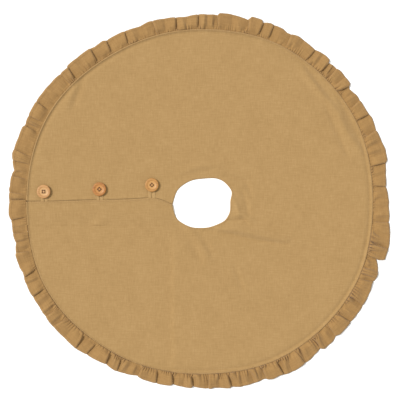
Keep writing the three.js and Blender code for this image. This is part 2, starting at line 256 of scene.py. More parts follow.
def revolve(name, profile, sides, centre, material):
    """A turned solid: the profile runs from the axis underneath, out and round, to the axis on top."""
    turns = np.linspace(0, 2 * math.pi, sides, endpoint=False)
    points = [(centre[0], centre[1], profile[0][1])]
    for r, z in profile[1:-1]:
        points += [(centre[0] + r * math.cos(a), centre[1] + r * math.sin(a), z) for a in turns]
    points.append((centre[0], centre[1], profile[-1][1]))
    rings = len(profile) - 2
    faces = [(0, 1 + (i + 1) % sides, 1 + i) for i in range(sides)]
    for k in range(rings - 1):
        a, b = 1 + k * sides, 1 + (k + 1) * sides
        faces += [(a + i, a + (i + 1) % sides, b + (i + 1) % sides, b + i) for i in range(sides)]
    last = 1 + (rings - 1) * sides
    faces += [(last + i, last + (i + 1) % sides, len(points) - 1) for i in range(sides)]
    return new_object(name, new_mesh(name, [tuple(c * MM for c in p) for p in points], [], faces), material)


def strands(name, paths, radius, material, sides=8):
    """Threads as round tubes with closed ends, all in one mesh."""
    points, faces = [], []
    for path in paths:
        path = [Vector(p) for p in path]
        for k, p in enumerate(path):
            ahead = (path[min(k + 1, len(path) - 1)] - path[max(k - 1, 0)]).normalized()
            side = ahead.cross(Vector((0.3, 0.2, 1))).normalized()
            up = side.cross(ahead)
            for i in range(sides):
                turn = 2 * math.pi * i / sides
                points.append((p + radius * (math.cos(turn) * side + math.sin(turn) * up)) * MM)
        first = len(points) - len(path) * sides
        for k in range(len(path) - 1):
            a, b = first + k * sides, first + (k + 1) * sides
            faces += [(a + i, b + i, b + (i + 1) % sides, a + (i + 1) % sides) for i in range(sides)]
        faces.append([first + i for i in range(sides)])
        faces.append([len(points) - 1 - i for i in range(sides)])
    return new_object(name, new_mesh(name, points, [], faces), material)


# -------- materials


def colour(hex_value):
    """An sRGB hex colour as linear red, green, blue and full alpha."""
    parts = [int(hex_value[i : i + 2], 16) / 255 for i in (1, 3, 5)]
    return (*[c / 12.92 if c <= 0.04045 else ((c + 0.055) / 1.055) ** 2.4 for c in parts], 1)


def add(tree, kind, inputs=None, **settings):
    """Adds one node with its settings; an input is a value or the socket it is linked to."""
    made = tree.nodes.new(kind)
    for name, value in settings.items():
        setattr(made, name, value)
    for name, value in (inputs or {}).items():
        if isinstance(value, bpy.types.NodeSocket):
            tree.links.new(value, made.inputs[name])
        else:
            made.inputs[name].default_value = value
    return made


def new_material(name, roughness, **sockets):
    material = bpy.data.materials.new(name)
    material.use_nodes = True
    tree = material.node_tree
    shader = tree.nodes["Principled BSDF"]
    shader.inputs["Roughness"].default_value = roughness
    for socket, value in sockets.items():
        shader.inputs[socket.replace("_", " ")].default_value = value
    return material, tree, shader


def noise(tree, place, scale, detail, **more):
    """Cloudy noise, with any of its other inputs."""
    given = {"Vector": place, "Scale": scale, "Detail": detail, **more}
    return add(tree, "ShaderNodeTexNoise", given).outputs["Fac"]


def mapped(tree, place, **how):
    return add(tree, "ShaderNodeMapping", {"Vector": place, **how}).outputs[0]


def bump(tree, height, distance, strength, **under):
    """A bump this many metres deep, on top of the Normal given, if any."""
    given = {"Height": height, "Distance": distance, "Strength": strength, **under}
    return add(tree, "ShaderNodeBump", given).outputs["Normal"]


def shaded(tree, value, low, high, span=(0, 1)):
    """The colours from low to high along a value."""
    ramp = add(tree, "ShaderNodeValToRGB", {"Fac": value})
    for end, place, hex_value in zip(ramp.color_ramp.elements, span, (low, high)):
        end.position, end.color = place, colour(hex_value)
    return ramp


def plain_weave(name, base, deep, pale, thread_mm, slub=0.5):
    """Plain-woven cotton and linen, rough and matt: the yarn is uneven, so thick slubs run as faint streaks both
    ways."""
    material, tree, shader = new_material(name, 0.92, Sheen_Weight=0.12, Sheen_Roughness=0.6)
    place = add(tree, "ShaderNodeUVMap", uv_map="cloth").outputs[0]
    streaks = []
    for size in ((34, 270, 1), (270, 34, 1)):  # streaks about 30 mm long and 4 mm wide, along each thread
        streaks.append(noise(tree, mapped(tree, place, Scale=size), 1.0, 3.0, Roughness=0.65))
    crossed = add(tree, "ShaderNodeMath", {0: streaks[0], 1: streaks[1]}, operation="ADD").outputs[0]
    cloudy = noise(tree, place, 14.0, 4.0, Roughness=0.6)
    mixed = add(tree, "ShaderNodeMath", {0: cloudy, 1: 0.5, 2: crossed}, operation="MULTIPLY_ADD").outputs[0]
    span = {"Value": mixed, "From Min": 1.25 - slub, "From Max": 1.25 + slub}
    ramp = shaded(tree, add(tree, "ShaderNodeMapRange", span).outputs[0], deep, pale)
    ramp.color_ramp.elements.new(0.5).color = colour(base)
    tree.links.new(ramp.outputs["Color"], shader.inputs["Base Color"])
    # The real threads are about 0.7 mm apart; they are drawn coarser so that the weave still shows from above.
    lines = {"Vector": place, "Scale": 314.16 / thread_mm, "Distortion": 1.2, "Detail": 1.0, "Detail Scale": 1.5}
    waves = [add(tree, "ShaderNodeTexWave", lines, bands_direction=axis).outputs["Fac"] for axis in "XY"]
    weave = add(tree, "ShaderNodeMath", {0: waves[0], 1: waves[1]}, operation="MAXIMUM").outputs[0]
    rumple = bump(tree, noise(tree, place, 45.0, 3.0), 0.0009, 0.5)
    slubs = bump(tree, crossed, 0.0006, 0.6, Normal=rumple)
    tree.links.new(bump(tree, weave, 0.00025, 0.8, Normal=slubs), shader.inputs["Normal"])
    return material


def turned_wood(name, base, dark, dish_highlight_colour, centre, turn):
    """Turned wood with a thin oil finish: straight grain in fine lines, a soft gloss, and the dish coloured paler as a
    painted highlight.
    """
    material, tree, shader = new_material(name, 0.5, IOR=1.5, Coat_Weight=0.12, Coat_Roughness=0.35)
    place = add(tree, "ShaderNodeTexCoord").outputs["Object"]
    local = mapped(tree, place, Location=(-centre[0] * MM, -centre[1] * MM, 0))
    along = mapped(tree, local, Rotation=(0, 0, turn), Scale=(60, 420, 200))
    grain = noise(tree, along, 1.0, 4.0, Roughness=0.6, Distortion=0.4)
    ramp = shaded(tree, grain, dark, base, span=(0.32, 0.68))
    level = mapped(tree, local, Scale=(1, 1, 0))
    from_axis = add(tree, "ShaderNodeVectorMath", {0: level}, operation="LENGTH").outputs["Value"]
    # Paler across the dish, within about 12.5 mm of the axis: a painted highlight on the button's centre.
    span = {"Value": from_axis, "From Min": 0.0125, "From Max": 0.0142, "To Min": 0.35, "To Max": 0.0}
    dish = add(tree, "ShaderNodeMapRange", span).outputs[0]
    mixed = {"Factor": dish, "A": ramp.outputs["Color"], "B": colour(dish_highlight_colour)}
    dish_highlighted = add(tree, "ShaderNodeMix", mixed, data_type="RGBA")
    tree.links.new(dish_highlighted.outputs["Result"], shader.inputs["Base Color"])
    tree.links.new(bump(tree, grain, 0.0002, 0.5), shader.inputs["Normal"])
    return material


def twisted_thread(name, base, dark):
    """Cotton sewing thread: two plies twisted, so a fine slanted ribbing and no gloss."""
    material, tree, shader = new_material(name, 0.85, Sheen_Weight=0.1)
    place = add(tree, "ShaderNodeTexCoord").outputs["Object"]
    lines = {"Vector": place, "Scale": 300.0, "Distortion": 2.0}
    plies = add(tree, "ShaderNodeTexWave", lines, bands_direction="DIAGONAL").outputs["Fac"]
    tree.links.new(shaded(tree, plies, dark, base).outputs["Color"], shader.inputs["Base Color"])
    tree.links.new(bump(tree, plies, 0.0003, 0.6), shader.inputs["Normal"])
    return material


face_cloth = plain_weave("face_plain_weave", "#9c7b4a", "#907040", "#a88756", 2.4)
# The ruffle is coloured darker than the face's cloth: the darkness is painted shade of its folds.
ruffle_cloth_painted_shade = plain_weave("ruffle_plain_weave_painted_shade", "#936f3d", "#876536", "#9f7b47", 2.4, slub=0.4)
lining_cloth = plain_weave("lining_plain_weave", "#b9a27c", "#b09973", "#c2ab85", 1.8)
# The loops are coloured paler than the face's cloth: painted light against the buttons' shadow on them.
loop_cloth_painted_light = plain_weave("loop_plain_weave_painted_light", "#a78655", "#9f7e4e", "#af8e5d", 2.0)
tan_thread = twisted_thread("tan_sewing_thread", "#b08b5e", "#957247")
brown_thread = twisted_thread("brown_button_thread", "#7d5430", "#5a3a1e")

# -------- outlines, read off the CAD nodes

cut_edges = walls("face_panel", "flap_face")
flap_edges = walls("flap_face")
panel_edges = walls("face_panel")
ROUND = np.radians(np.arange(0, 360, 0.25))


def read_outline(start_radius, centre, outward):
    """How far the cloth's edge is from a centre all round, looked for outward or, from start_radius, inward."""
    reach = []
    for angle in ROUND:
        way = (math.cos(angle), math.sin(angle))
        if outward:
            reach.append(first_wall(cut_edges, centre, way))
        else:
            start = (centre[0] + start_radius * way[0], centre[1] + start_radius * way[1])
            reach.append(start_radius - first_wall(cut_edges, start, (-way[0], -way[1])))
    return np.median([np.roll(reach, k) for k in range(-3, 4)], axis=0)


def soften_round(reach, spread):
    return soften(np.concatenate([reach[-40:], reach, reach[:40]]), spread)[40:-40]


def reach_at(angle, reach):
    return np.interp(np.mod(angle, 2 * math.pi), ROUND, reach, period=2 * math.pi)


SEAM = soften_round(read_outline(750, (0, 0), False), 6)
HOLE = soften_round(read_outline(0, HOLE_CENTRE, True), 4)


def on_seam(angle):
    reach = reach_at(angle, SEAM)
    return np.stack([reach * np.cos(angle), reach * np.sin(angle)], -1)


def on_hole(angle):
    reach = reach_at(angle, HOLE)
    return np.stack([HOLE_CENTRE[0] + reach * np.cos(angle), HOLE_CENTRE[1] + reach * np.sin(angle)], -1)


def angle_where(curve, height, low, high):
    """The angle between low and high, in degrees, at which a curve passes a height."""
    angles = np.radians(np.linspace(low, high, 3000))
    return float(angles[np.argmin(np.abs(curve(angles)[:, 1] - height))])


PLANNED_FOLD = -75.0
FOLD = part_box("flap_face")[0].y / MM
FOLD = PLANNED_FOLD if abs(FOLD - PLANNED_FOLD) < 1.5 else FOLD
UNDERLAP = -50 + first_wall(panel_edges, (-300, -50), (0, 1))
slit_x = np.linspace(-557, -88, 160)
slit_y = np.array([200 - (first_wall(flap_edges, (x, 200), (0, -1)) or 200) for x in slit_x])
slit_y = soften(slit_y, 2.5)


def slit_edge(x):
    return np.interp(x, slit_x, slit_y)


# -------- the face's relief


def beside(line, x, y):
    """Distance from a bent line, and how far along it, from 0 to 1."""
    line = np.array(line, float)
    steps = np.hypot(*(line[1:] - line[:-1]).T)
    total, done = steps.sum(), 0.0
    best, share = np.full(x.shape, 1e9), np.zeros(x.shape)
    for (ax, ay), (bx, by), step in zip(line[:-1], line[1:], steps):
        t = np.clip(((x - ax) * (bx - ax) + (y - ay) * (by - ay)) / step**2, 0, 1)
        gap = np.hypot(x - ax - t * (bx - ax), y - ay - t * (by - ay))
        nearer = gap < best
        best = np.where(nearer, gap, best)
        share = np.where(nearer, (done + t * step) / total, share)
        done += step
    return best, share


def relief(x, y):
    """The creases: each swells towards its middle and fades at both ends."""
    total = np.zeros(x.shape)
    for height, width, line in CREASES:
        gap, share = beside(line, x, y)
        swell = np.sqrt(np.clip(np.sin(np.pi * (0.08 + 0.84 * share)), 0, 1))
        total += CREASE_HEIGHT * height * np.exp(-((gap / (CREASE_WIDTH * width)) ** 2)) * swell
    return total


def seam_puckers(x, y, inward):
    """Short soft puckers that run in from the seam, where the ruffle's gathers pull at the panel."""
    rng = np.random.default_rng(11)
    angle = np.degrees(np.arctan2(y, x))
    total = np.zeros(x.shape)
    for _ in range(PUCKERS):
        at, width = rng.uniform(-180, 180), rng.uniform(0.5, 1.5)
        height, length, lean = rng.uniform(-0.8, 0.9), rng.uniform(16, 60), rng.uniform(-0.05, 0.05)
        off = np.mod(angle - at - lean * inward + 180, 360) - 180
        total += height * np.exp(-((off / width) ** 2)) * np.exp(-((inward / length) ** 2))
    return total


def rest_height(x, y):
    from_slit = np.hypot(np.maximum(x + 90, 0), y)
    return FACE_TOP + LOFT * smooth((from_slit - 75) / 150)


def rounded(height, low, distance, radius):
    """Rolls a surface down to low at an edge."""
    share = np.clip(distance / radius, 0, 1)
    return low + (height - low) * np.sqrt(np.clip(1 - (1 - share) ** 2, 0, 1))


def face_height(x, y, from_hole, from_seam):
    height = rest_height(x, y) + relief(x, y) + seam_puckers(x, y, from_seam)
    lowest = FACE_UNDER + 0.6  # a crease flattens out here
    height = lowest + np.logaddexp(0, (height - lowest) * 3) / 3 - 0.02
    away_from_slit = (rest_height(x, y) - FACE_TOP) / LOFT
    height = height + RIDGE_HEIGHT * np.exp(-(((from_seam - RIDGE_IN) / RIDGE_WIDTH) ** 2))
    depth = VALLEY_DEPTH + VALLEY_DEEPER * away_from_slit
    height = height - depth * np.exp(-(((from_seam - VALLEY_IN) / VALLEY_WIDTH) ** 2))
    height = height + 0.7 * smooth(1.6 - from_hole / 5.5)
    height = np.maximum(height, FACE_UNDER + 0.4)
    height = rounded(height, FACE_UNDER + 1.3, from_seam, 1.6)
    return rounded(height, FACE_UNDER + 0.2, from_hole, 2.2)


# -------- panel and flap grids


def rows_between(length):
    """Shares from the hole to the seam, close together at both edges, for columns of these lengths."""
    near_hole = HEM_STEPS[:, None] / length
    near_seam = 1 - SEAM_STEPS[::-1, None] / length
    share = np.linspace(0, 1, MIDDLE_ROWS + 2)[1:-1, None]
    middle = near_hole[-1] + (near_seam[0] - near_hole[-1]) * share
    return np.concatenate([near_hole, middle, near_seam])


HOLE_FROM = angle_where(on_hole, UNDERLAP, 181, 205)
HOLE_TO = angle_where(on_hole, FOLD, 215, 255) - 2 * math.pi
SEAM_FROM = angle_where(on_seam, UNDERLAP, 180, 185)
SEAM_TO = angle_where(on_seam, FOLD, 185, 192) - 2 * math.pi


def skirt_grid(columns):
    beside_slit = columns // 4  # close together where the slit's edge needs them
    near, rest = np.linspace(0, 0.05, beside_slit, endpoint=False), np.linspace(0.05, 1, columns - beside_slit)
    share = np.concatenate([near, rest])
    inner = on_hole(HOLE_FROM + (HOLE_TO - HOLE_FROM) * share)
    outer = on_seam(SEAM_FROM + (SEAM_TO - SEAM_FROM) * share)
    inner[0, 1] = outer[0, 1] = UNDERLAP
    inner[-1, 1] = outer[-1, 1] = FOLD
    length = np.hypot(*(outer - inner).T)
    rows = rows_between(length)
    place = inner + (outer - inner) * rows[..., None]
    return place, rows * length, (1 - rows) * length


def flap_grid(setback=0.0):
    """The flap between the fold line and the slit's edge; its first column is the skirt's last."""
    start, end = on_hole(np.array([HOLE_TO]))[0], on_seam(np.array([SEAM_TO]))[0]
    start[1] = end[1] = FOLD
    length = np.hypot(*(end - start))
    rows = rows_between(np.array([length]))[:, 0]
    back = np.array([0, 0.6, 1.4, 2.4, 3.8, 5.6, 8]) / 80  # from the slit's edge, over a width of about 80
    share = np.concatenate([np.linspace(0, 1 - back[-1], FLAP_COLUMNS + 1 - len(back))[:-1], 1 - back[::-1]])
    notch = angle_where(on_hole, float(slit_edge(-92)), 176, 186) - 2 * math.pi
    rim = angle_where(on_seam, float(slit_edge(-556)), 178, 182) - 2 * math.pi
    hole_side = on_hole(HOLE_TO + (notch - HOLE_TO) * share)
    seam_side = on_seam(SEAM_TO + (rim - SEAM_TO) * share)
    hole_side[0], seam_side[0] = start, end
    low = start + (end - start) * rows[:, None]
    high = hole_side[-1] + (seam_side[-1] - hole_side[-1]) * rows[:, None]
    high[:, 1] = slit_edge(high[:, 0]) - setback
    s, r = share[None, :, None], rows[:, None, None]
    place = low[:, None] * (1 - s) + high[:, None] * s
    corner_hole = hole_side - (start * (1 - share[:, None]) + high[0] * share[:, None])
    corner_seam = seam_side - (end * (1 - share[:, None]) + high[-1] * share[:, None])
    fade = (1 - s**6) if setback else 1.0
    place = place + ((1 - r) * corner_hole[None] + r * corner_seam[None]) * fade
    from_edge = high[:, 1][:, None] - place[..., 1]
    spread = np.ones((1, len(share)))
    return place, rows[:, None] * length * spread, (1 - rows[:, None]) * length * spread, from_edge


def flap_rise(y):
    return FLAP_RISE * smooth((y - FOLD) / (UNDERLAP - 6 - FOLD))


def slit_ridge(from_edge):
    """The turned edge of the flap stands up a little."""
    return 1.1 * np.exp(-(((from_edge - 3.5) / 3) ** 2))


def slit_gutter(x, y, height):
    """The button side dips under the flap's edge and swells beside it, except where the loops lie flat on it."""
    out = np.where(x < -88, y - slit_edge(x), NO_SLIT)
    clear = np.ones(x.shape)
    for number in (1, 2, 3):
        low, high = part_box(f"loop_{number}")
        clear *= 1 - np.exp(-((np.abs(x - (low.x + high.x) / 2 / MM) / 21) ** 4))
    swell = 1.9 * clear * np.exp(-((np.maximum(out - 4, 0) / 8) ** 2))
    risen = smooth((out - 1.2) / 2.2)
    return np.where(out < 60, FACE_UNDER + 0.4 + (height + swell - FACE_UNDER - 0.4) * risen, height)


def button_dimples(x, y, height):
    """Each button's thread pulls the cloth down a little round its shank, which leaves the shank room to tilt."""
    for number in (1, 2, 3):
        low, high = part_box(f"button_shank_{number}")
        gap = np.hypot(x - (low.x + high.x) / 2 / MM, y - (low.y + high.y) / 2 / MM)
        height = height - (height - low.z / MM + 0.5) * (1 - smooth((gap - 5) / 9))
    return np.maximum(height, FACE_UNDER + 0.35)


def make_skirt_face():
    place, from_hole, from_seam = skirt_grid(PANEL_COLUMNS)
    x, y = place[..., 0], place[..., 1]
    height = face_height(x, y, from_hole, from_seam)
    height = button_dimples(x, y, slit_gutter(x, y, height))
    under_edge = np.where(x < -60, y - UNDERLAP, NO_SLIT)
    rolled = rounded(height, FACE_UNDER + 0.3, under_edge, 3)
    height = np.where((under_edge >= 0) & (under_edge < 3), rolled, height)
    top = np.dstack([x, y, height])
    under = np.dstack([x, y, np.minimum(np.full(x.shape, FACE_UNDER), height - 0.15)])
    piece = shell("face_panel_cloth", top, under, place, face_cloth, crisp=True)
    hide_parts("face_panel")
    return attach(piece, "skirt")


def make_flap_face():
    place, from_hole, from_seam, from_edge = flap_grid()
    x, y = place[..., 0], place[..., 1]
    height = face_height(x, y, from_hole, from_seam) + flap_rise(y)
    height = height + slit_ridge(from_edge)
    under = FACE_UNDER + flap_rise(y)
    height = rounded(height, under + 0.1, from_edge, 2.4)
    top = np.dstack([x, y, height])
    below = np.dstack([x, y, np.minimum(under, height - 0.1)])
    piece = shell("flap_face_cloth", top, below, place, face_cloth, crisp=True)
    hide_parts("flap_face")
    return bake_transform(piece)


def make_skirt_lining():
    place = skirt_grid(240)[0][::3]
    x, y = place[..., 0], place[..., 1]
    top, under = (np.dstack([x, y, np.full(x.shape, z)]) for z in (LINING_TOP, 0.05))
    piece = shell("lining_panel_cloth", top, under, place, lining_cloth, crisp=True)
    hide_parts("lining_panel")
    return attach(piece, "skirt")


def make_flap_lining():
    place = flap_grid(setback=1.5)[0]
    x, y = place[..., 0], place[..., 1]
    low = 0.05 + flap_rise(y)
    top, under = np.dstack([x, y, low + 0.7]), np.dstack([x, y, low])
    piece = shell("flap_lining_cloth", top, under, place, lining_cloth, crisp=True)
    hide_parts("flap_lining")
    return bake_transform(piece)


# -------- the ruffle


def hem_reach(along):
    return np.interp(along / DEGREE, *np.array(HEM).T)


def fold_path():
    """The ruffle's free edge seen end on, from the flap's end round to the underlap: along, height and reach."""
    rng = np.random.default_rng(23)
    along, height, drawn_in = [], [], []

    def point(x, z, less=0.0):
        along.append(x)
        height.append(z)
        drawn_in.append(less)

    previous = RUFFLE_FROM * DEGREE
    point(previous, 3.0, 1)
    for angle, lap in [*FOLDS, (RUFFLE_TO, 0)]:
        at, tuck = angle * DEGREE, abs(lap)
        room = at - previous
        puffs = max(1, int(round(room / 42)))
        for k in range(puffs):
            x = previous + 8 + (room - 16) * (k + 0.5) / puffs + rng.uniform(-5, 5)
            point(x, rng.uniform(6.5, 10.5))
            if k < puffs - 1:
                x = previous + 8 + (room - 16) * (k + 1) / puffs + rng.uniform(-4, 4)
                point(x, rng.uniform(2.2, 4.2), rng.uniform(0, 0.8))
        edge = 12.0 if tuck > 6 else 9.4
        lapped = [
            (-11, 3.6, 0), (-4, 1.7, 0.5), (0.35 * tuck, 1.1, 3), (tuck, 1.1, 5), (tuck + 1, 2.2, 5),
            (0.6 * tuck, 3.1, 5), (1, 3.9, 4), (-1.8, 0.6 * edge, 2), (0.6, 0.88 * edge, 1), (4, edge, 0.4),
            (9, 0.9 * edge, 0),
        ]  # fmt: skip
        way = 1 if lap > 0 else -1  # a fold that laps the other way is the same one mirrored
        for off, high, less in lapped[::way] if lap else []:
            point(at + way * off, high, less)
        previous = at
    point(RUFFLE_TO * DEGREE, 2.5, 1)
    path = np.array([along, height, hem_reach(np.array(along)) - np.array(drawn_in)]).T
    for spacing, spread in ((0.5, 2.6), (1.6, 0)):
        run = np.concatenate([[0], np.cumsum(np.hypot(*(path[1:, :2] - path[:-1, :2]).T))])
        even = np.arange(0, run[-1], spacing)
        hem = hem_reach(np.interp(even, run, path[:, 0]))
        less = np.interp(even, run, hem_reach(path[:, 0]) - path[:, 2])
        path = np.stack([*(np.interp(even, run, path[:, i]) for i in range(2)), hem - less], -1)
        if spread:
            path = np.stack([soften(path[:, i], spread) for i in range(3)], -1)
    return path


def ruffle_grid():
    """The whole gathered strip: rows from the seam to the hem, columns along the cloth."""
    rng = np.random.default_rng(5)
    path = fold_path()
    cloth_along = 1.6 * np.arange(len(path))
    at_rim, rim_height, reach = path.T
    at_seam = soften(at_rim, 15)
    gathers = math.pi * cloth_along / GATHER + 2.4 * wander(rng, len(path), 9)
    gather = np.abs(np.sin(gathers)) ** 0.7 * np.clip(0.85 + 0.5 * wander(rng, len(path), 8), 0.25, 1.5)
    fade = np.clip(0.45 + 0.28 * wander(rng, len(path), 6), 0.2, 1.1)
    lean = 3.5 * wander(rng, len(path), 18)
    t = RUFFLE_ROWS[:, None]
    settled = smooth(t / 0.035)
    folded = np.clip(t, 0, 1) ** 0.55 * smooth(t / 0.25)
    along = at_seam + (at_rim - at_seam) * folded + lean * t
    fuller = 1 + 0.3 * np.exp(-(((along / DEGREE - 290) / 55) ** 4))  # the folds stand higher round the bottom
    tighter = 0.72 + 0.75 * np.exp(-(((along / DEGREE - 310) / 48) ** 4))  # and its gathers are pulled up harder
    at_left = np.exp(-(((along / DEGREE - 192) / 26) ** 4)) + np.exp(-(((along / DEGREE - 527) / 34) ** 4))
    tighter = tighter - 0.4 * at_left  # beside the slit they lie flat
    fine = GATHER_HEIGHT * gather * (1 - smooth(t / (fade * (0.6 + 0.5 * tighter)))) * tighter
    swell = smooth(t / 0.34) * (1 - 0.36 * smooth((t - 0.5) / 0.5))
    swell = swell - 0.5 * at_left * (smooth(t / 0.34) - smooth((t - 0.1) / 0.4))
    height = 2.0 + settled * (fine + (rim_height - 1.0) * swell * fuller - 0.6)
    for at, out, depth, size in DENTS:
        gap = np.hypot(along - at * DEGREE, (t - out) * 30) / size
        height = height - settled * depth * np.exp(-(gap**2))
    height = RUFFLE_TOP - np.logaddexp(0, RUFFLE_TOP - np.maximum(height, 1.0))
    height = 0.9 + (height - 0.9) * np.sqrt(1 - 0.9 * np.clip((t - 0.92) / 0.08, 0, 1) ** 2)
    angle = np.radians(along / DEGREE)
    under_flap = smooth((np.degrees(angle) - 538.6) / 0.9)
    height = height * (1 - 0.66 * under_flap)
    corner = np.clip((at_seam - RUFFLE_FROM * DEGREE) / 16, 0, 1)
    reach = reach * (0.8 + 0.2 * np.sqrt(1 - (1 - corner) ** 2))
    radius = reach_at(angle, SEAM) - 0.8 + (reach + 0.8) * t
    x, y = radius * np.cos(angle), radius * np.sin(angle)
    on_flap = np.degrees(angle) < 250
    height = height + np.where(on_flap, flap_rise(y) * 1.15, 0)
    place = np.dstack([x, y, np.maximum(height, 0.3)])
    flat = np.dstack([np.broadcast_to(cloth_along, x.shape), t * reach])
    return place, flat, np.degrees(angle)


def thickened(place):
    """The cloth's front, a cloth's thickness off its back, and twice that in the turned hem."""
    ahead = np.gradient(place, axis=1)
    out = np.gradient(place, axis=0)
    normal = np.cross(ahead, out)
    if normal[..., 2].mean() < 0:
        normal = -normal
    normal /= np.linalg.norm(normal, axis=-1, keepdims=True)
    thick = CLOTH + HEM_FOLD * smooth((RUFFLE_ROWS[:, None, None] - 0.84) / 0.03)
    return place + normal * thick


def strip_ends(node):
    """The angles at which a ruffle node starts and ends, in degrees above 180."""
    co = np.array([v.co[:2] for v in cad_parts[node].data.vertices])
    angle = np.mod(np.degrees(np.arctan2(co[:, 1], co[:, 0])) - 180.0001, 360) + 180
    return angle.min(), angle.max()


def make_ruffle():
    place, flat, angle = ruffle_grid()
    front = thickened(place)
    front[..., 2] = np.maximum(front[..., 2], 0.1)
    seam_angle = angle[0]
    beyond = np.all(np.maximum(place[..., 1], front[..., 1]) < FOLD - 0.05, axis=0)
    cuts = [0, int(np.argmax(beyond & (seam_angle > 186)))]
    cuts += [int(np.argmax(seam_angle > strip_ends(f"ruffle_strip_{i}")[1])) for i in (4, 3, 2)]
    cuts += [int(np.argmax(seam_angle > 539.45)), len(seam_angle) - 1]
    names = ["ruffle_flap_end", *(f"ruffle_strip_{i}" for i in (4, 3, 2, 1)), "ruffle_underlap_end"]
    made, hems = {}, {}
    for name, first, last in zip(names, cuts[:-1], cuts[1:]):
        part = slice(first, last + 1)
        piece = shell(name + "_gathered", front[:, part], place[:, part], flat[:, part], ruffle_cloth_painted_shade)
        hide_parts(name)
        made[name] = piece
        hems[name] = front[HEM_ROW, part]
    for name, piece in made.items():
        if name == "ruffle_flap_end":
            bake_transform(piece)
        else:
            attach(piece, "skirt")
    return hems


# -------- stitches


def stitch_tree():
    """Short stitches laid end to end along a line of points."""
    tree = bpy.data.node_groups.new("stitch_row", "GeometryNodeTree")
    face = tree.interface
    face.new_socket("Line", in_out="INPUT", socket_type="NodeSocketGeometry")
    for name, value in (("Pitch", 0.0036), ("Length", 0.0028), ("Width", 0.0009)):
        face.new_socket(name, in_out="INPUT", socket_type="NodeSocketFloat").default_value = value
    face.new_socket("Thread", in_out="INPUT", socket_type="NodeSocketMaterial")
    face.new_socket("Stitches", in_out="OUTPUT", socket_type="NodeSocketGeometry")
    given = add(tree, "NodeGroupInput")
    line = add(tree, "GeometryNodeMeshToCurve", {"Mesh": given.outputs["Line"]}).outputs[0]
    spaced = {"Curve": line, "Length": given.outputs["Pitch"]}
    spots = add(tree, "GeometryNodeCurveToPoints", spaced, mode="LENGTH").outputs
    bead = add(tree, "GeometryNodeMeshUVSphere", {"Segments": 6, "Rings": 4, "Radius": 0.5}).outputs[0]
    width, length = given.outputs["Width"], given.outputs["Length"]
    size = add(tree, "ShaderNodeCombineXYZ", {"X": width, "Y": width, "Z": length}).outputs[0]
    stitch = add(tree, "GeometryNodeTransform", {"Geometry": bead, "Scale": size}).outputs[0]
    laid = {"Points": spots["Points"], "Instance": stitch, "Rotation": spots["Rotation"]}
    row = add(tree, "GeometryNodeInstanceOnPoints", laid).outputs[0]
    real = add(tree, "GeometryNodeRealizeInstances", {0: row}).outputs[0]
    sewn = add(tree, "GeometryNodeSetMaterial", {"Geometry": real, "Material": given.outputs["Thread"]}).outputs[0]
    add(tree, "NodeGroupOutput", {"Stitches": sewn})
    return tree


def sew(name, lines, pitch=3.6, length=2.8, width=0.9):
    """A plain mesh of stitches along one or more lines of points."""
    points, edges = [], []
    for line in lines:
        start = len(points)
        points += [tuple(p) for p in np.asarray(line) * MM]
        edges += [(start + i, start + i + 1) for i in range(len(line) - 1)]
    thing = new_object(name + "_line", new_mesh(name + "_line", points, edges, []), None)
    modifier = thing.modifiers.new("stitches", "NODES")
    modifier.node_group = stitches_tree
    wanted = {"Pitch": pitch * MM, "Length": length * MM, "Width": width * MM, "Thread": tan_thread}
    for item in stitches_tree.interface.items_tree:
        if item.in_out == "INPUT" and item.name in wanted:
            modifier[item.identifier] = wanted[item.name]
    graph = bpy.context.evaluated_depsgraph_get()
    graph.update()
    seen = thing.evaluated_get(graph)
    sewn = bpy.data.meshes.new_from_object(seen, preserve_all_data_layers=True, depsgraph=graph)
    bpy.data.objects.remove(thing)
    sewn.name = name
    sewn.polygons.foreach_set("use_smooth", np.ones(len(sewn.polygons), bool))
    return new_object(name, sewn, None)


def make_stitches(hems):
    place, from_hole, from_seam = skirt_grid(400)
    lines = []
    for row, gap in ((4, 0.15), (-5, 0.1)):
        x, y = place[row, :, 0], place[row, :, 1]
        z = face_height(x, y, from_hole[row], from_seam[row]) + gap
        lines.append(np.stack([x, y, z], -1))
    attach(sew("hole_and_seam_stitches", lines), "skirt")
    place, from_hole, from_seam, from_edge = flap_grid()
    x, y = place[:, -5, 0], place[:, -5, 1]
    z = face_height(x, y, from_hole[:, -5], from_seam[:, -5]) + flap_rise(y) + slit_ridge(from_edge[:, -5]) + 0.15
    piece = sew("slit_edge_stitches", [np.stack([x, y, z], -1)[2:-2]])
    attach(piece, "flap")
    strips = [hems[n] for n in hems if n.startswith("ruffle_strip")]
    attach(sew("ruffle_hem_stitches", strips), "skirt")
    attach(sew("underlap_hem_stitches", [hems["ruffle_underlap_end"]]), "skirt")
    flap_hem = sew("flap_hem_stitches", [hems["ruffle_flap_end"]])
    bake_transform(flap_hem)


# -------- loops and buttons


def loop_line(number):
    """Where a loop's inner and outer edges run: up one leg, round behind the shank, down the other."""
    low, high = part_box(f"loop_{number}")
    shank_low, shank_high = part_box(f"button_shank_{number}")
    shank = (shank_low + shank_high) / 2 / MM
    foot = shank.x + LOOP_SKEWS[number - 1]
    edge = float(slit_edge(foot))
    outer = min(high.x / MM - shank.x, shank.x - low.x / MM)
    inner = outer - LOOP_STRAP
    pinch = inner - LOOP_GAPS[number - 1]
    down = np.linspace(-9, 0, 4)[:-1]
    climb = np.linspace(0, 1, 12)
    bend = np.linspace(math.pi, 0, 22)[1:-1]

    def leg(way, half):
        """From under the flap's edge to the bend, on the left (-1) or the right (1)."""
        points = [(foot + way * (half - pinch), edge + d) for d in down]
        for s in climb:
            x = foot + way * (half - pinch * (1 - s)) + (shank.x - foot) * s
            points.append((x, edge + (shank.y - edge) * s))
        return points

    sides = []
    for half in (inner, outer):
        round_it = [(shank.x + half * math.cos(a), shank.y + half * math.sin(a)) for a in bend]
        sides.append(np.array(leg(-1, half) + round_it + leg(1, half)[::-1]))
    return sides[0], sides[1], edge, low.z / MM, high.z / MM, foot


